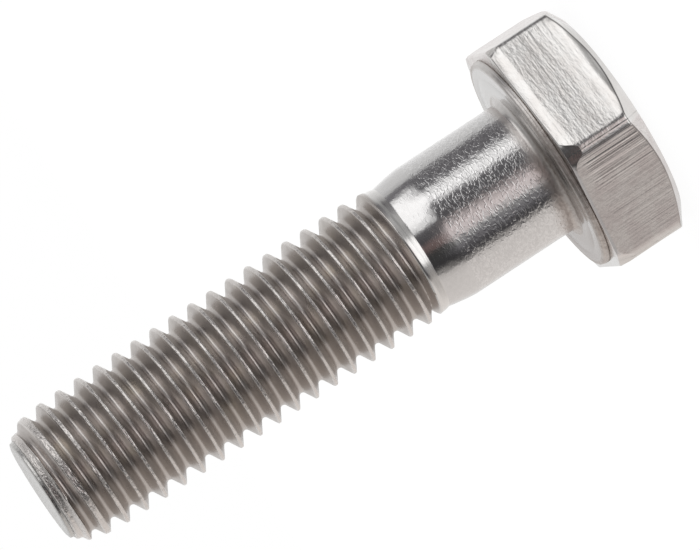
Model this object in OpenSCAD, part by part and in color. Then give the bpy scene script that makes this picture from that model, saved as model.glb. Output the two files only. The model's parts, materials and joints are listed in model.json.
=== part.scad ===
// Hex bolt, partly threaded, with a washer-faced head.
// The bolt stands on its head: the head is below z = 0, the shank and thread run up along +Z.
// The origin is the centre of the bearing face, from which a bolt's length is measured.

/* [Head] */
// Distance between opposite flats
across_flats = 16.8; // [15.5:0.1:18]
// Height of the head, from the bearing face to its top
head_h = 6.4; // [5:0.1:8]
// Radius of the flat circle on top of the head
head_top_r = 7.7; // [6.5:0.05:7.9]
// Angle of the top chamfer, from the plane of the top
head_chamfer_angle = 32; // [20:1:40]
// Radius at which the corners are cut on the bearing side
corner_cut_r = 9.2; // [8.9:0.01:9.5]
// Height of that corner cut at its tallest
corner_cut_h = 1.7; // [0.4:0.1:1.8]

/* [Bearing face] */
// Radius of the raised washer face
washer_r = 8.0; // [7.2:0.1:8.2]
// Height of the raised washer face
washer_h = 0.48; // [0.3:0.02:0.6]
// Width of the break round the washer face's rim
washer_break = 0.2; // [0.05:0.05:0.25]
// Radius of the fillet between the bearing face and the shank
fillet_r = 0.46; // [0.3:0.02:0.6]

/* [Shank] */
// Length of the bolt, from the bearing face to the end
bolt_l = 39.6; // [30:0.1:60]
// Diameter of the plain shank
shank_d = 9.88; // [9.6:0.01:10]
// Height above the bearing face at which the shoulder starts
shoulder_z = 8.0; // [6:0.1:12]
// Length of the shoulder
shoulder_l = 2.1; // [1.5:0.1:3]
// Diameter at the thin end of the shoulder, where the thread runs out
neck_d = 9.24; // [8.9:0.01:9.3]

/* [Thread] */
// Pitch of the thread
pitch = 1.5; // [1.25:0.25:1.5]
// Diameter over the crests
crest_d = 9.88; // [9.7:0.01:10]
// Diameter at the roots
root_d = 8.16; // [8:0.01:8.4]
// Flank angle, from the plane across the bolt's axis
flank_angle = 30; // [28:1:32]
// Length over which the thread grows to full depth at the shoulder
runout_l = 2.2; // [1.5:0.1:3]
// Angle round the bolt at which the thread starts
thread_start_angle = -27; // [-180:1:180]

/* [Point] */
// Radius of the flat end face
end_r = 3.5; // [3.3:0.05:3.9]
// Length of the chamfer below the first thread groove
point_l = 0.3; // [0.2:0.02:0.3]
// Length over which the crests grow to full height behind the end
lead_l = 0.8; // [0.7:0.1:1.5]

/* [Hidden] */

$fn = 96;
thread_sides = 48; // columns round one turn of the thread
seam_gap = 0.1; // plain strip between the helical mesh and the flat end rings
fade_columns = 12; // columns over which the helix rises at either end
arc_steps = 8;

shank_r = shank_d / 2;
neck_r = neck_d / 2;
crest_r = crest_d / 2;
root_r = root_d / 2;
corner_r = across_flats / sqrt(3);
hex_underside = -washer_h;
thread_z0 = shoulder_z + shoulder_l;
thread_z1 = bolt_l - point_l;

// One pitch of the thread, as shares of the pitch: root end, crest start, crest end, root start
crest_half = 1 / 16;
flank_share = (crest_r - root_r) * tan(flank_angle) / pitch;
profile_u = [
  0.5 - crest_half - flank_share, 0.5 - crest_half,
  0.5 + crest_half, 0.5 + crest_half + flank_share
];
profile_rows = len(profile_u);
profile_on_crest = [0, 1, 1, 0];

// Radius that the crests reach at height z: low at the run-out and at the end
function lead_in(z) = (crest_r - end_r) * exp(-(bolt_l - z) / lead_l);
function run_out(z) = (crest_r - neck_r) * max(0, 1 - (z - thread_z0) / runout_l);
function crest_limit(z) = crest_r - max(lead_in(z), run_out(z));
// Radius of the root at height z: it climbs to the neck at the run-out
function root_limit(z) = root_r + (neck_r - root_r) * max(0, 1 - 2 * (z - thread_z0) / runout_l);
function point_r(z) = crest_r - lead_in(z);

// Vertex of the thread: column n counts along the helix, row k counts across the pitch
helix_z = thread_z0 + seam_gap - pitch * profile_u[0];
columns = floor(thread_sides * ((thread_z1 - thread_z0 - 2 * seam_gap) / pitch - 1));
function column_angle(n) = thread_start_angle + 360 * n / thread_sides;
function thread_vertex_z(n, k) = helix_z + pitch * (n / thread_sides + profile_u[k]);
function rise(n) = max(0, min(1, n / fade_columns, (columns - n) / fade_columns));
function root_at(z) = min(root_limit(z), crest_limit(z));
function thread_radius(n, z, on_crest) =
  root_at(z) + (on_crest ? rise(n) * (crest_limit(z) - root_at(z)) : 0);
function polar(r, a, z) = [r * cos(a), r * sin(a), z];
function thread_vertex(n, k) =
  let (z = thread_vertex_z(n, k))
  polar(thread_radius(n, z, profile_on_crest[k] == 1), column_angle(n), z);

module hex_head() {
  color("silver")
  intersection() {
    translate([0, 0, -head_h]) cylinder(r = corner_r, h = head_h - washer_h, $fn = 6);
    rotate_extrude() polygon([
      [0, -head_h],
      [head_top_r, -head_h],
      [corner_r + 1, -head_h + (corner_r + 1 - head_top_r) * tan(head_chamfer_angle)],
      [corner_r + 1, hex_underside - corner_cut_h - (corner_cut_h / (corner_r - corner_cut_r))],
      [corner_cut_r, hex_underside],
      [0, hex_underside]
    ]);
  }
}

module washer_face() {
  color("gainsboro")
  rotate_extrude() polygon([
    [shank_r + fillet_r, hex_underside],
    [washer_r, hex_underside],
    [washer_r, -washer_break],
    [washer_r - washer_break, 0],
    [shank_r + fillet_r, 0]
  ]);
}

module underhead_fillet() {
  centre = [shank_r + fillet_r, fillet_r];
  arc = [
    for (i = [0 : arc_steps])
      centre + fillet_r * [-sin(90 * i / arc_steps), -cos(90 * i / arc_steps)]
  ];
  color("rosybrown")
  rotate_extrude() polygon(concat(
    [[0, hex_underside], [shank_r + fillet_r, hex_underside]],
    arc,
    [[0, fillet_r]]
  ));
}

module plain_shank() {
  color("lightsteelblue")
  translate([0, 0, fillet_r]) cylinder(r = shank_r, h = shoulder_z - fillet_r);
}

module shoulder() {
  // convex curve: tangent to the shank, steepest at the neck
  curve = [
    for (i = [0 : arc_steps])
      [shank_r - (shank_r - neck_r) * pow(i / arc_steps, 1.6), shoulder_z + shoulder_l * i / arc_steps]
  ];
  color("slategray")
  rotate_extrude() polygon(concat([[0, shoulder_z]], curve, [[0, thread_z0]]));
}

module thread() {
  n_side = thread_sides;
  rows = profile_rows;
  // rows 1 and up exist for columns 0 to `columns`; row 0 runs on for one more turn
  main_points = [for (n = [0 : columns]) for (k = [0 : rows - 1]) thread_vertex(n, k)];
  last_turn = [for (n = [columns + 1 : columns + n_side]) thread_vertex(n, 0)];
  low_ring = [
    for (i = [0 : n_side - 1]) polar(neck_r, column_angle(i), thread_z0)
  ];
  high_ring = [
    for (i = [0 : n_side - 1]) polar(point_r(thread_z1), column_angle(columns + i), thread_z1)
  ];
  last_turn_at = len(main_points);
  low_at = last_turn_at + len(last_turn);
  high_at = low_at + n_side;

  function row0(n) = n <= columns ? n * rows : last_turn_at + n - columns - 1;
  function at(n, k) = k == rows ? row0(n + n_side) : k == 0 ? row0(n) : n * rows + k;
  function low(i) = low_at + i % n_side;
  function high(i) = high_at + i % n_side;

  helix_faces = [
    for (n = [0 : columns - 1]) for (k = [0 : rows - 1]) for (
      face = [
        [at(n, k), at(n + 1, k + 1), at(n + 1, k)],
        [at(n, k), at(n, k + 1), at(n + 1, k + 1)]
      ]
    ) face
  ];
  // from the flat ring up to the first turn, closed past the seam by a fan
  low_faces = [
    for (i = [0 : n_side - 2]) for (
      face = [[low(i), row0(i), row0(i + 1)], [low(i), row0(i + 1), low(i + 1)]]
    ) face
  ];
  low_seam = concat(
    [[row0(n_side - 1), low(n_side), low(n_side - 1)], [row0(n_side - 1), at(0, 0), low(n_side)]],
    [for (k = [0 : rows - 1]) [row0(n_side - 1), at(0, k + 1), at(0, k)]]
  );
  high_faces = [
    for (i = [1 : n_side - 1]) for (
      face = [
        [row0(columns + i), high(i), high(i + 1)],
        [row0(columns + i), high(i + 1), row0(columns + i + 1)]
      ]
    ) face
  ];
  high_seam = concat(
    [[row0(columns + 1), high(0), high(1)], [row0(columns + 1), at(columns, rows), high(0)]],
    [for (k = [0 : rows - 1]) [row0(columns + 1), at(columns, k), at(columns, k + 1)]]
  );
  low_cap = [[for (i = [0 : n_side - 1]) low(i)]];
  high_cap = [[for (i = [n_side - 1 : -1 : 0]) high(i)]];

  color("darkgray")
  polyhedron(
    points = concat(main_points, last_turn, low_ring, high_ring),
    faces = concat(helix_faces, low_faces, low_seam, high_faces, high_seam, low_cap, high_cap),
    convexity = 20
  );
}

module chamfered_point() {
  color("dimgray")
  translate([0, 0, thread_z1]) cylinder(r1 = point_r(thread_z1), r2 = end_r, h = point_l);
}

hex_head();
washer_face();
underhead_fillet();
plain_shank();
shoulder();
thread();
chamfered_point();
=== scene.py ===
import json
import math

import bpy
import numpy as np
from mathutils import Matrix, Vector


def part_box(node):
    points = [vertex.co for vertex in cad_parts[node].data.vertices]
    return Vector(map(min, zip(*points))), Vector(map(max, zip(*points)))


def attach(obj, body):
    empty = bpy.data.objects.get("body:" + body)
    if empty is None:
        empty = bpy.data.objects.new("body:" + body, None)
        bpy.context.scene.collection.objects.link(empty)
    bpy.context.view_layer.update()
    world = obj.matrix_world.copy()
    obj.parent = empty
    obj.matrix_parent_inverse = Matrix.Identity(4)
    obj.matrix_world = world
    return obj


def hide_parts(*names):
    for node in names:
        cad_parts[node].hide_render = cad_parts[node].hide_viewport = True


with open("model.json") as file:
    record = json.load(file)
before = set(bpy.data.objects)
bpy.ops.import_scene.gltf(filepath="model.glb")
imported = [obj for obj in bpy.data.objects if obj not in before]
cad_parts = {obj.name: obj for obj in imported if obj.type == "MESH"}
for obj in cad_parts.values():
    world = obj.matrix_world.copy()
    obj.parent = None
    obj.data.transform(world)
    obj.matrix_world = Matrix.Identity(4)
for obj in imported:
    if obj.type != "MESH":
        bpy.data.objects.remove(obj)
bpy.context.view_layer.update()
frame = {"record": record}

MM = 0.001

# ------------------------ sizes, from the frame, in millimetres


def node_box(name):
    lo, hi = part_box(name)
    return np.array(lo) / MM, np.array(hi) / MM


head_lo, head_hi = node_box("hex_head")
washer_lo, washer_hi = node_box("washer_face")
_, fillet_hi = node_box("underhead_fillet")
_, shank_hi = node_box("plain_shank")
shoulder_lo, _ = node_box("shoulder")
thread_lo, thread_hi = node_box("thread")
_, point_hi = node_box("chamfered_point")

HEAD_TOP_Z = head_lo[2]
UNDERSIDE_Z = washer_lo[2]
FLAT_R = head_hi[1]
CORNER_R = FLAT_R / math.cos(math.pi / 6)
WASHER_R = washer_hi[0]
SHANK_R = shank_hi[0]
FILLET_R = fillet_hi[2]
SHOULDER_Z = shoulder_lo[2]
THREAD_Z0 = thread_lo[2]
THREAD_Z1 = thread_hi[2]
BOLT_L = point_hi[2]
CREST_R = SHANK_R

# features that a box doesn't show
HEAD_TOP_R = 7.7
TOP_CHAMFER = math.radians(32)
CORNER_CUT_R = 9.2
CORNER_CUT_H = 1.7
NECK_R = 4.64
ROOT_R = 4.06
PITCH = 1.5
END_R = 3.5
CREST_Z_AT_CAMERA = 0.13  # height of a crest on the camera's side, less whole pitches

# ------------------------ camera

CAM_AZIMUTH = math.radians(-56)  # direction from the bolt's axis to the camera
CAM_ELEVATION = math.radians(7.1)
CAM_DISTANCE = 450.0
SENSOR_W = 36.0
AXIS_SLOPE = math.radians(33.27)  # of the bolt in the picture
PX_PER_MM = 15.08  # at the bolt's axis
IMAGE_W = 700
AIM_Z = 14.47  # height on the bolt that the picture's centre faces
AXIS_OFFSET = 0.703  # how far the axis passes below the picture's centre


def make_camera():
    ca, sa = math.cos(CAM_AZIMUTH), math.sin(CAM_AZIMUTH)
    ce, se = math.cos(CAM_ELEVATION), math.sin(CAM_ELEVATION)
    back = Vector((ce * ca, ce * sa, se))
    right = Vector((-sa, ca, 0.0))
    up = Vector((-se * ca, -se * sa, ce))
    target = Vector((0, 0, AIM_Z)) + right * AXIS_OFFSET
    # the picture is rolled, so that the threaded end points down to the left
    cr, sr = math.cos(AXIS_SLOPE), math.sin(AXIS_SLOPE)
    image_x = -cr * up - sr * right
    image_y = -sr * up + cr * right
    data = bpy.data.cameras.new("camera")
    data.sensor_width = SENSOR_W
    data.lens = SENSOR_W * PX_PER_MM * CAM_DISTANCE / IMAGE_W
    data.clip_start, data.clip_end = 0.01, 10.0
    cam = bpy.data.objects.new("camera", data)
    cam.matrix_world = Matrix.Translation((target + back * CAM_DISTANCE) * MM) @ Matrix(
        (image_x, image_y, back)
    ).transposed().to_4x4()
    bpy.context.scene.collection.objects.link(cam)
    bpy.context.scene.camera = cam


make_camera()

# ------------------------ mesh helpers


def build_piece(name, points, faces, sharp_deg=40):
    """A smooth-shaded object from points in millimetres."""
    mesh = bpy.data.meshes.new(name)
    mesh.from_pydata((np.asarray(points) * MM).tolist(), [], faces)
    mesh.validate()
    mesh.update()
    mesh.polygons.foreach_set("use_smooth", [True] * len(mesh.polygons))
    mesh.set_sharp_from_angle(angle=math.radians(sharp_deg))
    piece = bpy.data.objects.new(name, mesh)
    bpy.context.scene.collection.objects.link(piece)
    return piece


def ring_faces(rings, cols, first=0):
    """Quads between rings of vertices, wound so that they face outwards when the rings rise."""
    faces = []
    for j in range(rings - 1):
        a, b = first + j * cols, first + (j + 1) * cols
        for i in range(cols):
            n = (i + 1) % cols
            faces.append((a + i, a + n, b + n, b + i))
    return faces


def closed_rings(name, r, z, angles, sharp_deg=40):
    """A closed piece from rings of radius r[ring, column] and height z[ring, column].

    The first and last ring are closed by a fan to a point on the axis.
    """
    rings, cols = r.shape
    xyz = np.stack([r * np.cos(angles), r * np.sin(angles), z], axis=-1).reshape(-1, 3)
    low = [0, 0, float(z[0].mean())]
    high = [0, 0, float(z[-1].mean())]
    points = np.vstack([xyz, [low, high]])
    faces = ring_faces(rings, cols)
    low_at, high_at = rings * cols, rings * cols + 1
    last = (rings - 1) * cols
    for i in range(cols):
        n = (i + 1) % cols
        faces.append((low_at, n, i))
        faces.append((high_at, last + i, last + n))
    return build_piece(name, points, faces, sharp_deg)


def waves(seed, lengths, count=24):
    """A smooth random function of position: sines of the given wavelengths in random directions."""
    rng = np.random.default_rng(seed)
    parts = []
    for length in lengths:
        direction = rng.normal(size=(count, 3))
        direction /= np.linalg.norm(direction, axis=1)[:, None]
        parts.append((direction * 2 * math.pi / length, rng.uniform(0, 2 * math.pi, count)))

    def value(p):
        total = 0
        for k, phase in parts:
            total = total + np.sin(p @ k.T + phase).sum(axis=-1) / math.sqrt(count / 2)
        return total / len(parts)

    return value


def smooth_min(a, b, k):
    h = np.clip(0.5 + 0.5 * (b - a) / k, 0, 1)
    return b + (a - b) * h - k * h * (1 - h)


def smooth_step(lo, hi, x):
    t = np.clip((x - lo) / (hi - lo), 0, 1)
    return t * t * (3 - 2 * t)


# ------------------------ head

BEVEL_HALF = 0.32  # half the width of the narrow strip along each corner
SHARP_BEVEL_HALF = 0.12  # the same, along the corner on the +X side
STRIP_ROUND = 0.12  # rounding between a strip and the flats beside it
SHARP_CUT = 0.2  # how much less the corner on the +X side was cut towards the bearing face
EDGE_BREAK = 0.1  # height of the broken edge on the bearing side of a flat
EDGE_INSET = 0.06  # depth of that broken edge
GROUND_BREAK = 0.08  # added to both on the ground flats
TOP_RIM_ROUND = 0.25  # rounding where the top meets its chamfer
TOP_EDGE_ROUND = 0.2  # rounding where the chamfer meets the flats
BREAK_ROUND = 0.06  # rounding of the broken edge
GROUND_ROUND = 0.2  # added to that on the ground flats
CUT_ROUND = 0.05  # rounding where the cut meets the underside
HEAD_CAP_R = 0.5  # ring on the top, from which a fan closes it
HEAD_ROW_STEP = 0.2  # the furthest that two rings of the head may be apart
ARC_POINTS = 5
# Columns from a corner to the middle of a flat, in degrees
HEAD_COLUMNS = [0, 0.5, 0.9, 1.15, 1.35, 1.55, 1.75, 2.0, 2.35, 2.8]
HEAD_COLUMNS += [3.4, 4.4, 6, 8, 10.5, 13.5, 17, 21, 25.5, 30]


def head_angles():
    """Columns crowd round the six corners, where the strips and their rounded edges are."""
    half = np.radians(HEAD_COLUMNS)
    sector = np.concatenate([half[:-1], math.radians(60) - half[:0:-1]])
    return np.concatenate([sector + k * math.pi / 3 for k in range(6)])


def degrees_off_corner(angles):
    return np.abs((np.degrees(angles) + 30) % 60 - 30)


def degrees_off_x(angles):
    return np.abs((np.degrees(angles) + 180) % 360 - 180)


def side_radius(angles):
    """Radius of the hexagon's wall: flats, with a narrow flat strip on each corner."""
    off_corner = (angles + math.pi / 6) % (math.pi / 3) - math.pi / 6
    flat = FLAT_R / np.cos(math.pi / 6 - np.abs(off_corner))
    bevel = np.where(degrees_off_x(angles) < 30, SHARP_BEVEL_HALF, BEVEL_HALF)
    strip = (CORNER_R - bevel * math.tan(math.pi / 6)) / np.cos(off_corner)
    return smooth_min(flat, strip, STRIP_ROUND)


def rounded_outline(corners, radii):
    """Polyline with arcs at its corners, for every column at once.

    corners is a list of (r, z) arrays, one value per column.
    """
    pts = [np.stack(c, axis=-1) for c in corners]
    out = [pts[0]]
    for a, b, c, rad in zip(pts[:-2], pts[1:-1], pts[2:], radii):
        u, v = a - b, c - b
        lu, lv = np.linalg.norm(u, axis=-1), np.linalg.norm(v, axis=-1)
        u, v = u / lu[..., None], v / lv[..., None]
        half = np.arccos(np.clip((u * v).sum(-1), -1, 1)) / 2
        cut = np.minimum(rad / np.tan(half), 0.45 * np.minimum(lu, lv))
        start, end = b + u * cut[..., None], b + v * cut[..., None]
        for s in np.linspace(0, 1, ARC_POINTS):
            # a quadratic blend that is tangent to both sides
            out.append((1 - s) ** 2 * start + 2 * s * (1 - s) * b + s**2 * end)
    out.append(pts[-1])
    return np.array([p[:, 0] for p in out]), np.array([p[:, 1] for p in out])


def add_rows(r, z, most):
    """Splits long stretches between rings, so that the surface can be dented."""
    rows_r, rows_z = [r[0]], [z[0]]
    for r0, z0, r1, z1 in zip(r[:-1], z[:-1], r[1:], z[1:]):
        length = np.hypot(r1 - r0, z1 - z0).max()
        parts = max(1, int(math.ceil(length / most)))
        for k in range(1, parts + 1):
            rows_r.append(r0 + (r1 - r0) * k / parts)
            rows_z.append(z0 + (z1 - z0) * k / parts)
    return np.array(rows_r), np.array(rows_z)


# Slope of the flats that weren't ground, by height, as the change of radius per millimetre
WAVY_Z = [-6.2, -5.3, -4.6, -4.0, -3.4, -2.7, -2.1, -1.3, -1.15, -0.5]
WAVY_SLOPE = [-0.065, -0.065, -0.05, -0.025, 0.025, 0.04, 0.02, 0.01, -0.07, -0.075]


def flat_waviness(z):
    """How far the flats that weren't ground stand out at height z."""
    heights = np.linspace(WAVY_Z[0], WAVY_Z[-1], 200)
    slope = np.interp(heights, WAVY_Z, WAVY_SLOPE)
    offset = np.concatenate([[0], np.cumsum((slope[1:] + slope[:-1]) / 2 * np.diff(heights))])
    return np.interp(z, heights, offset - offset.mean())


def make_head():
    """The hexagon: top chamfer, flats, cut corners and broken edges towards the bearing face."""
    angles = head_angles()
    side = side_radius(angles)
    ones = np.ones_like(side)
    chamfer_z = HEAD_TOP_Z + (side - HEAD_TOP_R) * math.tan(TOP_CHAMFER)
    cut_slope = CORNER_CUT_H / (CORNER_R - CORNER_CUT_R)
    cut_full_r = CORNER_CUT_R + SHARP_CUT * smooth_step(30, 10, degrees_off_x(angles))
    off_corner = degrees_off_corner(angles)
    on_ground = smooth_step(2.0, 7.0, off_corner) * axial_grain(angles)
    flat_break = EDGE_BREAK + GROUND_BREAK * on_ground
    cut_r = np.minimum(side - EDGE_INSET - GROUND_BREAK * on_ground, cut_full_r)
    cut_z = UNDERSIDE_Z - np.maximum(flat_break, (side - cut_full_r) * cut_slope)
    corners = [
        (HEAD_CAP_R * ones, HEAD_TOP_Z * ones),
        (HEAD_TOP_R * ones, HEAD_TOP_Z * ones),
        (side, chamfer_z),
        (side, cut_z),
        (cut_r, UNDERSIDE_Z * ones),
        ((WASHER_R - 0.5) * ones, UNDERSIDE_Z * ones),
    ]
    break_round = BREAK_ROUND + GROUND_ROUND * on_ground
    r, z = rounded_outline(corners, [TOP_RIM_ROUND, TOP_EDGE_ROUND, break_round, CUT_ROUND])
    r, z = add_rows(r, z, HEAD_ROW_STEP)
    # the flats that weren't ground are wavy, except at their edges
    wavy = smooth_step(1.4, 4.5, off_corner) * (1 - axial_grain(angles))
    below_chamfer = smooth_step(HEAD_TOP_Z + 0.5, HEAD_TOP_Z + 0.9, z)
    inside = below_chamfer * smooth_step(UNDERSIDE_Z, UNDERSIDE_Z - 0.3, z)
    ripple = 0.05 * np.sin(24 * angles) + 0.03 * np.sin(41 * angles + 1)
    r = r + flat_waviness(z + ripple[None, :]) * wavy[None, :] * inside
    head = closed_rings("forged_head", r, z, angles, sharp_deg=50)
    points = np.empty(len(head.data.vertices) * 3)
    head.data.vertices.foreach_get("co", points)
    points = points.reshape(-1, 3)
    turn = np.arctan2(points[:, 1], points[:, 0])
    add_attribute(head, "axial_grain", axial_grain(turn))
    add_attribute(head, "corner_strip", smooth_step(3.2, 1.3, degrees_off_corner(turn)))
    return head


def axial_grain(angles):
    """1 on the flats that were ground along the bolt: every other one, from the one at -Y."""
    turn = (np.degrees(angles) + 90) % 120
    return (np.minimum(turn, 120 - turn) < 29.9).astype(float)


def add_attribute(piece, name, values):
    layer = piece.data.attributes.new(name, "FLOAT", "POINT")
    layer.data.foreach_set("value", np.asarray(values, dtype=float))


# ------------------------ round pieces under the head and the shank

CAP_R = 3.0  # ring on a flat hidden end, from which a fan closes it


def lathe(name, outline, cols=192):
    """Closed piece turned round the axis from an outline of (r, z), low end first."""
    outline = np.array(outline, float)
    angles = np.linspace(0, 2 * math.pi, cols, endpoint=False)
    r = np.repeat(outline[:, :1], cols, axis=1)
    z = np.repeat(outline[:, 1:], cols, axis=1)
    return closed_rings(name, r, z, angles)


def make_washer_face():
    """The raised collar: turned side, broken rim and a bearing face with faint turned steps."""
    side = [
        (5.0, UNDERSIDE_Z),
        (WASHER_R - 0.05, UNDERSIDE_Z),
        (WASHER_R, UNDERSIDE_Z + 0.05),
        (WASHER_R - 0.016, -0.30),
        (WASHER_R - 0.05, -0.27),
        (WASHER_R - 0.06, -0.17),
        (WASHER_R - 0.09, -0.08),
        (WASHER_R - 0.15, -0.025),
        (WASHER_R - 0.26, -0.003),
    ]
    groove = [(7.0, 0.0), (6.9, -0.02), (6.75, -0.02), (6.68, 0.0)]
    face = [(WASHER_R - 0.5, 0.0)] + groove + [(6.0, 0.0)]
    inner = [(SHANK_R + FILLET_R, 0.0), (SHANK_R, 0.0)]
    return lathe("turned_washer_face", side + face + inner)


def make_fillet():
    arc = []
    centre = (SHANK_R + FILLET_R, FILLET_R)
    for a in np.radians(np.linspace(0, 90, 15)):
        arc.append((centre[0] - FILLET_R * math.sin(a), centre[1] - FILLET_R * math.cos(a)))
    start = [(4.0, -0.3), (SHANK_R + FILLET_R, -0.3), (SHANK_R + FILLET_R, -0.02)]
    return lathe("underhead_radius", start + arc + [(CAP_R, FILLET_R)])


def make_shank():
    rows = np.linspace(FILLET_R, SHOULDER_Z, 40)
    outline = [(CAP_R, FILLET_R)] + [(SHANK_R, z) for z in rows] + [(CAP_R, SHOULDER_Z)]
    return lathe("drawn_shank", outline)


def shoulder_radius(z):
    """Cylinder, a bend, a convex taper, then a soft crease at the neck."""
    along = (z - SHOULDER_Z) / (THREAD_Z0 - 0.03 - SHOULDER_Z)
    taper = SHANK_R - (SHANK_R - NECK_R) * np.clip(along, 0, None) ** 1.35
    return -smooth_min(-taper, -NECK_R, 0.01)


def make_shoulder():
    rows = np.linspace(SHOULDER_Z, THREAD_Z0, 48)
    wall = [(shoulder_radius(z), z) for z in rows]
    return lathe("drawn_shoulder", [(CAP_R, SHOULDER_Z)] + wall + [(CAP_R, THREAD_Z0)])


# ------------------------ thread

THREAD_COLS = 180
# Rows from a crest to the next root: distance from the crest's middle
THREAD_ROWS = [0, 0.045, 0.08, 0.115, 0.18, 0.27, 0.36, 0.45, 0.51, 0.56, 0.61, 0.66, 0.705, 0.75]
THREAD_SEAM = 0.004  # rows nearer than this to either end of the thread gather on its ring
FLANK = math.tan(math.radians(30))
CREST_HALF = PITCH / 16
FLANK_APEX = CREST_R + CREST_HALF / FLANK
ROOT_ARC = PITCH / 2 / FLANK + ROOT_R - FLANK_APEX
NECK_CONE = 0.18  # slope of the neck where the thread runs out


def thread_profile(x):
    """Radius at distance x from a crest's middle, along the axis."""
    x = np.abs(x)
    flank = FLANK_APEX - x / FLANK
    crest = smooth_min(flank, np.full_like(x, CREST_R), 0.075)
    from_root = PITCH / 2 - x
    inside = np.clip(ROOT_ARC**2 - from_root**2, 0, None)
    root = ROOT_R + ROOT_ARC - np.sqrt(inside)
    return np.where(from_root < ROOT_ARC * math.cos(math.radians(30)), root, crest)


# Outline of the end: distance from the end face, and radius. There are two lands, and behind them
# crests that aren't quite full.
END_BELOW = [0.0, 0.05, 0.30, 0.40, 0.75, 1.0, 1.25, 1.6, 2.0, 2.7, 3.5, 5.0, 9.0]
END_RADIUS = [3.53, 3.68, 3.725, 4.0, 4.075, 4.46, 4.58, 4.67, 4.74, 4.82, 4.88, 4.93, 4.96]


def point_limit(z):
    """Radius of the end's outline at height z, with its corners softened."""
    near = [np.interp(BOLT_L - z + d, END_BELOW, END_RADIUS) for d in np.linspace(-0.04, 0.04, 5)]
    return np.mean(near, axis=0)


def thread_radius(x, z):
    """Radius at height z and distance x from a crest, with the run-out and the point."""
    full = thread_profile(x)
    above = z - THREAD_Z0
    ramp = smooth_min(NECK_R + 0.24 * above, NECK_R + 0.1 + 0.1 * above, 0.08)
    root_growth = 0.88 * smooth_step(0.0, 0.65, above) + 0.12 * smooth_step(0.8, 5.0, above)
    sunk = np.clip(NECK_R - full, 0, None) * root_growth
    formed = np.where(full > NECK_R, full, NECK_R - sunk)
    formed = smooth_min(formed, ramp, 0.04)
    # a plain cone ahead of the first groove
    cone = NECK_R + NECK_CONE * above - np.clip(above - 0.7, 0, None) / FLANK
    formed = -smooth_min(-formed, -cone, 0.02)
    return smooth_min(formed, point_limit(z), 0.03)


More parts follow.
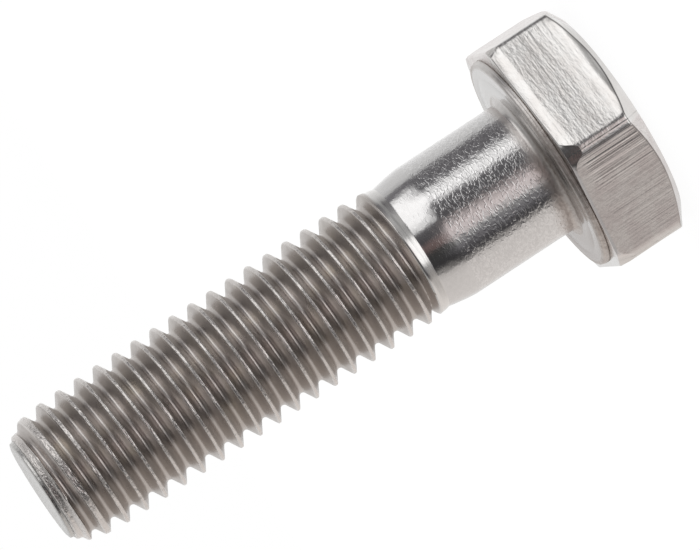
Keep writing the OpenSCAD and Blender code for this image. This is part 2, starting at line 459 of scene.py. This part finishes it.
def make_thread():
    """A grid that follows the helix, so that crests and roots lie along its rows."""
    half = np.array(THREAD_ROWS)
    x_rows = np.concatenate([-half[:0:-1], half[:-1]])
    rows_per_turn = len(x_rows)
    turns = int(math.ceil((THREAD_Z1 - THREAD_Z0) / PITCH)) + 3
    total = turns * rows_per_turn
    step = np.arange(THREAD_COLS)
    angles = CAM_AZIMUTH + 2 * math.pi * step / THREAD_COLS
    first_crest = CREST_Z_AT_CAMERA + PITCH * (math.floor(THREAD_Z0 / PITCH) - 2)
    crest_z = first_crest + PITCH * np.arange(turns + 1)
    x = np.tile(x_rows, turns)
    row_z = (crest_z[:turns, None] + x_rows[None, :]).reshape(-1)
    z = row_z[:, None] + PITCH * step[None, :] / THREAD_COLS
    r = thread_radius(np.repeat(x[:, None], THREAD_COLS, axis=1), z)
    xyz = np.stack([r * np.cos(angles), r * np.sin(angles), z], axis=-1)

    bumps = waves(7, [0.35, 0.6, 1.3])
    on_crest = smooth_step(0.16, 0.05, np.abs(x))[:, None]
    dent = 0.012 * bumps(xyz) * on_crest
    centre_line = np.exp(-((x / 0.035) ** 2))[:, None]
    dent = dent - 0.012 * centre_line * np.clip(bumps(xyz + 3.0) + 0.4, 0, 1)
    full = smooth_step(0.7, 1.3, z - THREAD_Z0) * smooth_step(0, 0.5, THREAD_Z1 - z)
    r = r + dent * full
    xyz = np.stack([r * np.cos(angles), r * np.sin(angles), z], axis=-1)

    # rows beyond either end gather on that end's ring
    index = np.arange(total * THREAD_COLS).reshape(total, THREAD_COLS)
    low_at = total * THREAD_COLS
    high_at = low_at + THREAD_COLS
    index = np.where(z <= THREAD_Z0 + THREAD_SEAM, low_at + step[None, :], index)
    index = np.where(z >= THREAD_Z1 - THREAD_SEAM, high_at + step[None, :], index)
    end_r = float(point_limit(np.array([THREAD_Z1]))[0])
    circle = np.stack([np.cos(angles), np.sin(angles), np.zeros(THREAD_COLS)], -1)
    low_ring = NECK_R * circle + [0, 0, THREAD_Z0]
    high_ring = end_r * circle + [0, 0, THREAD_Z1]
    middles = [[0, 0, THREAD_Z0], [0, 0, THREAD_Z1]]
    points = np.vstack([xyz.reshape(-1, 3), low_ring, high_ring, middles])
    low_mid = high_at + THREAD_COLS

    def column(i):
        if i < THREAD_COLS:
            return index[:, i]
        # past the seam, row j is row j + one turn of the first column
        shifted = np.full(total, high_at)
        shifted[: total - rows_per_turn] = index[rows_per_turn:, 0]
        return shifted

    faces = []
    for i in range(THREAD_COLS):
        a, b = column(i), column(i + 1)
        for quad in zip(a[:-1], b[:-1], b[1:], a[1:]):
            corners = [int(v) for k, v in enumerate(quad) if v != quad[k - 1]]
            if len(set(corners)) >= 3:
                faces.append(tuple(corners))
        n = (i + 1) % THREAD_COLS
        faces.append((low_mid, low_at + n, low_at + i))
        faces.append((low_mid + 1, high_at + i, high_at + n))
    crest = np.zeros(len(points))
    cut_down = smooth_step(0.03, 0.0, point_limit(z) - np.hypot(xyz[..., 0], xyz[..., 1]))
    on_land = smooth_step(0.2, 0.09, np.abs(x))[:, None] * smooth_step(0.7, 1.3, z - THREAD_Z0)
    crest[: total * THREAD_COLS] = np.maximum(on_land, 1.8 * cut_down).reshape(-1)
    # place on the crest: distance along the helix, and across it
    turn = np.repeat(np.arange(turns), rows_per_turn)[:, None] + step[None, :] / THREAD_COLS
    helix_place = np.zeros((len(points), 3))
    helix_place[: total * THREAD_COLS, 0] = (turn * 2 * math.pi * CREST_R * MM).reshape(-1)
    helix_place[: total * THREAD_COLS, 1] = np.repeat(x * MM, THREAD_COLS)
    used = np.zeros(len(points), bool)
    for face in faces:
        used[list(face)] = True
    new_index = np.cumsum(used) - 1
    faces = [tuple(int(new_index[v]) for v in face) for face in faces]
    thread = build_piece("rolled_thread", points[used], faces, sharp_deg=60)
    add_attribute(thread, "crest", crest[used])
    layer = thread.data.attributes.new("helix_place", "FLOAT_VECTOR", "POINT")
    layer.data.foreach_set("vector", helix_place[used].reshape(-1))
    return thread


def make_point():
    """The cut end: chamfer, rounded rim and a faintly dished face."""
    rows = np.linspace(THREAD_Z1, BOLT_L - 0.06, 9)
    cone = [(float(point_limit(np.array([z]))[0]), z) for z in rows]
    rim = [(END_R + 0.02, BOLT_L - 0.02), (END_R - 0.03, BOLT_L - 0.002), (END_R - 0.1, BOLT_L)]
    dish = [(r, BOLT_L - 0.05 * (1 - (r / END_R) ** 2)) for r in np.linspace(END_R - 0.4, 0.2, 14)]
    return lathe("cut_point", [(CAP_R, THREAD_Z1)] + cone + rim + dish, cols=THREAD_COLS)


# ------------------------ assembly

PIECES = [
    (make_head, "hex_head"),
    (make_washer_face, "washer_face"),
    (make_fillet, "underhead_fillet"),
    (make_shank, "plain_shank"),
    (make_shoulder, "shoulder"),
    (make_thread, "thread"),
    (make_point, "chamfered_point"),
]
SLOTS = {part["node"]: part["material_slot"] for part in frame["record"]["subparts"]}

# ------------------------ materials


class Steel:
    """A metal material whose colour, roughness and relief come from procedural patterns."""

    def __init__(self, name):
        self.material = bpy.data.materials.new(name)
        self.material.use_nodes = True
        self.tree = self.material.node_tree
        self.bsdf = self.tree.nodes["Principled BSDF"]
        self.bsdf.inputs["Metallic"].default_value = 1.0
        self.place = self.node("ShaderNodeTexCoord").outputs["Object"]
        self.bump_out = None

    def node(self, kind, **settings):
        made = self.tree.nodes.new(kind)
        for key, value in settings.items():
            setattr(made, key, value)
        return made

    def put(self, socket, value):
        if isinstance(value, bpy.types.NodeSocket):
            self.tree.links.new(value, socket)
        else:
            socket.default_value = value

    def math(self, operation, a, b=0.0, c=0.0, clamp=False):
        made = self.node("ShaderNodeMath", operation=operation, use_clamp=clamp)
        for socket, value in zip(made.inputs, (a, b, c)):
            self.put(socket, value)
        return made.outputs[0]

    def noise(self, size, detail=2.0, stretch=(1, 1, 1), rough=0.5, warp=0.0, place=None):
        """Noise between 0 and 1. size and stretch are in millimetres and multiples of it."""
        mapping = self.node("ShaderNodeMapping")
        self.put(mapping.inputs["Vector"], place or self.place)
        mapping.inputs["Scale"].default_value = [1 / (size * MM * k) for k in stretch]
        made = self.node("ShaderNodeTexNoise")
        self.put(made.inputs["Vector"], mapping.outputs[0])
        made.inputs["Scale"].default_value = 1.0
        made.inputs["Detail"].default_value = detail
        made.inputs["Roughness"].default_value = rough
        made.inputs["Distortion"].default_value = warp
        return made.outputs["Fac"]

    def span(self, value, lo, hi, out_lo=0.0, out_hi=1.0):
        """A smooth step from out_lo, where value is lo, to out_hi, where it is hi."""
        made = self.node("ShaderNodeMapRange", interpolation_type="SMOOTHSTEP")
        for socket, v in zip(made.inputs, (value, lo, hi, out_lo, out_hi)):
            self.put(socket, v)
        return made.outputs[0]

    def coordinates(self):
        """The object's x, y and z, in millimetres."""
        split = self.node("ShaderNodeSeparateXYZ")
        self.put(split.inputs[0], self.place)
        return [self.math("DIVIDE", out, MM) for out in split.outputs]

    def axis_distance(self):
        """Distance from the bolt's axis, in millimetres."""
        x, y, _ = self.coordinates()
        return self.math("SQRT", self.math("MULTIPLY_ADD", x, x, self.math("MULTIPLY", y, y)))

    def attribute(self, name):
        return self.node("ShaderNodeAttribute", attribute_name=name).outputs["Fac"]

    def mix_color(self, fac, a, b):
        made = self.node("ShaderNodeMix", data_type="RGBA")
        self.put(made.inputs[0], fac)
        for socket, value in ((made.inputs[6], a), (made.inputs[7], b)):
            self.put(socket, value if isinstance(value, bpy.types.NodeSocket) else (*value, 1))
        return made.outputs[2]

    def bump(self, height, depth):
        """Adds relief. height is 0 to 1 and depth is in millimetres."""
        made = self.node("ShaderNodeBump")
        made.inputs["Strength"].default_value = 1.0
        made.inputs["Distance"].default_value = depth * MM
        self.put(made.inputs["Height"], height)
        if self.bump_out:
            self.put(made.inputs["Normal"], self.bump_out)
        self.bump_out = made.outputs[0]

    def color(self, value):
        self.put(self.bsdf.inputs["Base Color"], value)

    def roughness(self, value):
        self.put(self.bsdf.inputs["Roughness"], value)

    def done(self):
        if self.bump_out:
            self.put(self.bsdf.inputs["Normal"], self.bump_out)
        return self.material


def head_steel():
    m = Steel("head_steel")
    ground = m.attribute("axial_grain")
    unground = m.math("SUBTRACT", 1.0, ground)
    strip = m.attribute("corner_strip")
    x, _, z = m.coordinates()
    # ground flats: straight lines, strongest on the +X side and fading towards the bearing face
    lines = m.noise(0.19, 2.0, stretch=(1, 1, 70), warp=0.15)
    ground_flat = m.math("SUBTRACT", ground, strip, clamp=True)
    towards_x = m.span(x, 0.5, 3.2, 0.2, 1.0)
    below_face = m.span(z, -1.0, -1.9, 0.1, 1.0)
    line_depth = m.math("MULTIPLY", towards_x, below_face)
    m.bump(m.math("MULTIPLY", lines, m.math("MULTIPLY", line_depth, ground_flat)), 0.05)
    # the other flats: wavy strokes across, strongest halfway up
    middle = m.math("MULTIPLY", m.span(z, -1.1, -1.4), m.span(z, -5.2, -4.0))
    middle = m.math("MULTIPLY", m.math("MULTIPLY_ADD", middle, 0.75, 0.25), unground)
    strokes = m.noise(0.36, 2.0, stretch=(6, 6, 1), warp=1.0)
    m.bump(m.math("MULTIPLY", strokes, middle), 0.027)
    streaks = m.noise(0.75, 1.0, stretch=(9, 9, 1), warp=0.5)
    m.bump(m.math("MULTIPLY", streaks, unground), 0.045)
    dapple = m.noise(0.22, 2.0, stretch=(1.4, 1.4, 0.8), rough=0.6)
    rough_where = m.math("MAXIMUM", middle, m.math("MULTIPLY", strip, 0.9))
    m.bump(m.math("MULTIPLY", dapple, m.math("MAXIMUM", rough_where, 0.35)), 0.024)
    tone = m.noise(1.3, 4.0, rough=0.6)
    mottle = m.span(tone, 0.35, 0.65)
    plain_color = m.mix_color(mottle, (0.72, 0.705, 0.69), (0.67, 0.645, 0.625))
    ground_color = m.mix_color(mottle, (0.765, 0.73, 0.71), (0.69, 0.64, 0.625))
    m.color(m.mix_color(ground_flat, plain_color, ground_color))
    smooth = m.math("MULTIPLY_ADD", middle, 0.09, 0.15)
    m.roughness(m.math("MULTIPLY_ADD", ground_flat, 0.11, smooth))
    return m.done()


def collar_steel():
    m = Steel("collar_steel")
    distance = m.axis_distance()
    rings = m.node("ShaderNodeTexNoise", noise_dimensions="1D")
    m.put(rings.inputs["W"], distance)
    rings.inputs["Scale"].default_value = 7.0
    rings.inputs["Detail"].default_value = 3.0
    rim = m.span(distance, WASHER_R - 0.55, WASHER_R - 0.2)
    inner = m.span(distance, SHANK_R + FILLET_R + 0.25, SHANK_R + FILLET_R - 0.05)
    x, _, _ = m.coordinates()
    # painted light: the rim's dirt is fainter on the side that faces +X, towards the bright panel
    rim = m.math("MULTIPLY", rim, m.span(x, 7.7, 5.5, 0.4, 1.0))
    # painted shade: brown in the corner where the bearing face meets the fillet, weaker on the +X
    # side, joined to the rim's dirt
    dirt_and_shade = m.math("MAXIMUM", rim, m.math("MULTIPLY", inner, m.span(x, 5.0, 2.5, 0.3, 1.0)))
    m.bump(rings.outputs["Fac"], 0.008)
    stain = m.noise(0.4, 4.0, rough=0.65)
    m.bump(m.math("MULTIPLY", stain, dirt_and_shade), 0.03)
    brown = m.mix_color(m.span(stain, 0.4, 0.62), (0.62, 0.575, 0.545), (0.49, 0.44, 0.41))
    # painted shade: the bearing face is darker on the side that faces -X, away from the bright
    # panel
    painted_side_shade = m.span(x, 1.5, -4.0)
    face = m.mix_color(painted_side_shade, (0.61, 0.60, 0.59), (0.33, 0.29, 0.27))
    m.color(m.mix_color(dirt_and_shade, face, brown))
    m.roughness(m.span(dirt_and_shade, 0.0, 1.0, 0.2, 0.44))
    return m.done()


def shank_steel():
    m = Steel("shank_steel")
    x, _, height = m.coordinates()
    strokes = m.noise(0.3, 1.0, stretch=(1.15, 1.15, 0.6), rough=0.5, warp=0.9)
    swell = m.noise(1.3, 2.0, stretch=(1, 1, 1.6))
    drawn = m.span(height, SHOULDER_Z + 0.2, SHOULDER_Z - 0.3, 0.25, 1.0)
    m.bump(m.math("MULTIPLY", m.span(strokes, 0.42, 0.72), drawn), 0.008)
    m.bump(swell, 0.035)
    stain = m.math("MULTIPLY", m.span(height, 1.7, 0.5), m.span(m.noise(0.5, 3.0), 0.25, 0.6))
    # painted light: the stain under the head is fainter on the side that faces +X, towards the
    # bright panel
    stain = m.math("MULTIPLY", stain, m.span(x, 4.5, 2.5, 0.3, 1.0))
    # painted shade: a brown band on the shank beside the fillet, in the corner under the head,
    # joined to the stain
    fillet_corner_shade = m.span(height, FILLET_R + 0.95, FILLET_R, 0.0, 0.9)
    stain = m.math("MAXIMUM", stain, fillet_corner_shade)
    # painted light: the brown is lighter on the side that faces +X, towards the bright panel
    brown = m.mix_color(m.span(x, 3.0, 4.2), (0.53, 0.475, 0.445), (0.63, 0.585, 0.56))
    bright = m.math("MULTIPLY", m.span(strokes, 0.35, 0.68), drawn)
    steel = m.mix_color(bright, (0.65, 0.64, 0.635), (0.75, 0.74, 0.735))
    m.color(m.mix_color(stain, steel, brown))
    m.roughness(m.math("MULTIPLY_ADD", stain, 0.27, 0.145))
    return m.done()


def thread_steel():
    m = Steel("thread_steel")
    crest = m.attribute("crest")
    helix = m.node("ShaderNodeAttribute", attribute_name="helix_place").outputs["Vector"]
    scores = m.noise(0.1, 2.0, stretch=(6, 1, 1), rough=0.6, place=helix)
    pits = m.noise(0.24, 2.0, rough=0.6)
    rub = m.noise(0.5, 3.0, stretch=(2.2, 2.2, 0.5))
    m.bump(m.math("MULTIPLY", scores, crest), 0.03)
    m.bump(m.math("MULTIPLY", pits, crest), 0.026)
    m.bump(rub, 0.014)
    stain = m.noise(1.1, 3.0, rough=0.6)
    stained = m.span(stain, 0.35, 0.68)
    flank = m.mix_color(stained, (0.595, 0.555, 0.53), (0.525, 0.485, 0.46))
    tarnish = m.span(m.noise(1.7, 2.0), 0.5, 0.7, 0.0, 0.7)
    flank = m.mix_color(tarnish, flank, (0.60, 0.555, 0.50))
    # painted shade: the flanks are darker on the sides that face -X and +Y
    x, y, z = m.coordinates()
    painted_flank_shade = m.math("MAXIMUM", m.span(x, 0.8, -0.8, 0.0, 0.75), m.span(y, -1.4, -0.5, 0.0, 0.7))
    flank = m.mix_color(painted_flank_shade, flank, (0.50, 0.465, 0.44))
    neck = m.span(z, THREAD_Z0 + 0.85, THREAD_Z0 + 0.65)
    flank = m.mix_color(neck, flank, (0.76, 0.745, 0.73))
    m.color(m.mix_color(crest, flank, (0.71, 0.675, 0.65)))
    polish = m.math("MAXIMUM", m.math("MULTIPLY", crest, 0.05), m.math("MULTIPLY", neck, 0.12))
    m.roughness(m.math("SUBTRACT", m.span(rub, 0.3, 0.7, 0.27, 0.35), polish))
    return m.done()


def point_steel():
    m = Steel("point_steel")
    m.color((0.56, 0.55, 0.535, 1))
    marks = m.noise(0.25, 2.0, rough=0.6)
    m.bump(marks, 0.034)
    m.roughness(m.span(marks, 0.3, 0.7, 0.2, 0.36))
    return m.done()


STEELS = {
    "head_steel": head_steel(),
    "collar_steel": collar_steel(),
    "shank_steel": shank_steel(),
    "thread_steel": thread_steel(),
    "point_steel": point_steel(),
}

for make, node in PIECES:
    piece = make()
    piece.data.materials.append(STEELS[SLOTS[node]])
    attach(piece, "root")
    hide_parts(node)

# ------------------------ studio

# Tints of the studio's panels
GREY = (1.0, 1.0, 1.0)
COOL = (1.0, 0.97, 1.03)
PINK = (1.08, 0.965, 0.955)
WARM = (1.045, 0.995, 0.96)
RED = (1.25, 0.9, 0.86)

# The studio round the bolt. Each row belongs to one height above the horizon, in degrees. Its stops
# are the angle from the camera's side, clockwise from above, the brightness there and the tint.
STUDIO_ROWS = [
    (-58, [
        (-180, 1.05, GREY), (-130, 0.6, GREY), (-98, 0.2, GREY), (-70, 0.09, GREY),
        (-14, 0.12, GREY), (0, 0.7, GREY), (36, 0.6, GREY), (50, 0.13, GREY), (80, 0.14, WARM),
        (120, 0.36, WARM), (180, 1.05, GREY),
    ]),
    (-30, [
        (-180, 0.9, GREY), (-130, 0.65, GREY), (-100, 0.28, GREY), (-60, 0.42, GREY),
        (-22, 0.46, GREY), (-9, 1.5, GREY), (32, 1.45, GREY), (44, 0.4, GREY), (62, 0.36, WARM),
        (76, 0.5, WARM), (120, 0.55, WARM), (180, 0.9, GREY),
    ]),
    (-18, [
        (-180, 1.3, GREY), (-163, 1.05, GREY), (-130, 0.75, GREY), (-110, 0.5, GREY),
        (-98, 0.13, COOL), (-72, 0.2, COOL), (-58, 0.6, GREY), (-45, 0.6, GREY),
        (-35, 0.13, COOL), (-14, 0.12, COOL), (-2, 0.5, PINK), (10, 0.85, PINK), (22, 0.75, GREY),
        (38, 0.15, COOL), (57, 0.08, COOL), (64, 0.3, WARM), (72, 0.62, WARM), (100, 0.72, WARM),
        (150, 0.8, WARM), (180, 0.85, GREY),
    ]),
    (-4, [
        (-180, 1.15, GREY), (-163, 1.0, GREY), (-140, 0.84, GREY), (-122, 0.79, GREY),
        (-111, 0.74, GREY), (-99, 0.19, COOL), (-90, 0.16, COOL), (-71, 0.15, COOL),
        (-60, 1.1, GREY), (-52, 1.5, GREY), (-44, 1.35, GREY), (-35, 0.2, COOL),
        (-28, 0.12, COOL), (-14, 0.095, COOL), (-6, 0.2, PINK), (4, 0.6, PINK), (12, 0.76, PINK),
        (20, 0.7, PINK), (28, 0.34, GREY), (40, 0.225, COOL), (50, 0.07, COOL), (58, 0.05, COOL),
        (63, 0.28, WARM), (70, 0.74, WARM), (84, 0.79, WARM), (102, 0.8, WARM), (140, 0.8, WARM),
        (180, 0.87, GREY),
    ]),
    (9, [
        (-180, 0.87, GREY), (-160, 0.9, GREY), (-140, 0.84, GREY), (-120, 0.78, GREY),
        (-110, 0.62, GREY), (-100, 0.2, COOL), (-93, 0.21, COOL), (-86, 0.9, GREY),
        (-79, 1.45, GREY), (-32, 1.45, GREY), (-20, 1.0, GREY), (-10, 0.15, COOL),
        (-3, 0.1, COOL), (6, 0.08, COOL), (14, 0.16, RED), (20, 0.12, RED), (27, 0.05, GREY),
        (54, 0.04, COOL), (61, 0.2, WARM), (70, 0.65, WARM), (84, 0.74, WARM), (140, 0.8, WARM),
        (180, 0.87, GREY),
    ]),
    (40, [
        (-180, 0.85, GREY), (-110, 0.6, GREY), (-80, 0.4, GREY), (-40, 0.35, GREY),
        (-10, 0.08, GREY), (30, 0.05, GREY), (55, 0.2, GREY), (80, 0.5, GREY), (180, 0.85, GREY),
    ]),
    (75, [
        (-180, 0.65, GREY), (-60, 0.4, GREY), (0, 0.22, GREY), (60, 0.36, GREY),
        (180, 0.65, GREY),
    ]),
]


def make_studio():
    world = bpy.data.worlds.new("studio")
    world.use_nodes = True
    bpy.context.scene.world = world
    tree = world.node_tree
    tree.nodes.clear()
    link = tree.links.new

    def math_node(operation, a, b=0.0):
        made = tree.nodes.new("ShaderNodeMath")
        made.operation = operation
        for socket, value in zip(made.inputs, (a, b)):
            if isinstance(value, bpy.types.NodeSocket):
                link(value, socket)
            else:
                socket.default_value = value
        return made.outputs[0]

    # where a direction lies: round the horizon, from 0 to 1, and its height above it
    split = tree.nodes.new("ShaderNodeSeparateXYZ")
    link(tree.nodes.new("ShaderNodeTexCoord").outputs["Generated"], split.inputs[0])
    x, y, z = split.outputs
    azimuth = math_node("ARCTAN2", y, x)
    turn = math_node("DIVIDE", math_node("SUBTRACT", CAM_AZIMUTH, azimuth), 2 * math.pi)
    half_turn, keep_positive = 0.5, 2.0
    around = math_node("FRACT", math_node("ADD", turn, half_turn + keep_positive))
    height = math_node("ARCSINE", z)
    total = None
    for number, (elevation, stops) in enumerate(STUDIO_ROWS):
        ramp = tree.nodes.new("ShaderNodeValToRGB")
        ramp.color_ramp.interpolation = "EASE"
        elements = ramp.color_ramp.elements
        while len(elements) < len(stops):
            elements.new(0.5)
        for element, (angle, level, tint) in zip(elements, stops):
            element.position = (angle + 180) / 360
            element.color = [level * c for c in tint] + [1]
        link(around, ramp.inputs[0])
        if total is None:
            total = ramp.outputs[0]
            continue
        share = tree.nodes.new("ShaderNodeMapRange")
        share.interpolation_type = "SMOOTHSTEP"
        link(height, share.inputs[0])
        share.inputs[1].default_value = math.radians(STUDIO_ROWS[number - 1][0])
        share.inputs[2].default_value = math.radians(elevation)
        blend = tree.nodes.new("ShaderNodeMix")
        blend.data_type = "RGBA"
        link(share.outputs[0], blend.inputs[0])
        link(total, blend.inputs[6])
        link(ramp.outputs[0], blend.inputs[7])
        total = blend.outputs[2]
    # the panels light the bolt, and the camera sees plain white behind it
    lit = tree.nodes.new("ShaderNodeBackground")
    link(total, lit.inputs["Color"])
    plain = tree.nodes.new("ShaderNodeBackground")
    plain.inputs["Color"].default_value = (1, 1, 1, 1)
    seen = tree.nodes.new("ShaderNodeMixShader")
    link(tree.nodes.new("ShaderNodeLightPath").outputs["Is Camera Ray"], seen.inputs[0])
    link(lit.outputs[0], seen.inputs[1])
    link(plain.outputs[0], seen.inputs[2])
    link(seen.outputs[0], tree.nodes.new("ShaderNodeOutputWorld").inputs["Surface"])


FLOOR_RADIUS = 350 * MM


def make_floor():
    """A pale, softly glowing table top, which the bolt's reflections leave out."""
    bpy.ops.mesh.primitive_circle_add(vertices=96, radius=FLOOR_RADIUS, fill_type="NGON")
    floor = bpy.context.object
    floor.name = "floor"
    floor.location.z = HEAD_TOP_Z * MM
    floor.visible_glossy = False
    pale = bpy.data.materials.new("pale_floor")
    pale.use_nodes = True
    bsdf = pale.node_tree.nodes["Principled BSDF"]
    bsdf.inputs["Base Color"].default_value = (0.2, 0.2, 0.2, 1)
    bsdf.inputs["Roughness"].default_value = 0.9
    bsdf.inputs["Specular IOR Level"].default_value = 0.0
    bsdf.inputs["Emission Color"].default_value = (1, 1, 1, 1)
    bsdf.inputs["Emission Strength"].default_value = 0.92
    floor.data.materials.append(pale)


make_studio()
make_floor()
bpy.context.scene.view_settings.view_transform = "Standard"
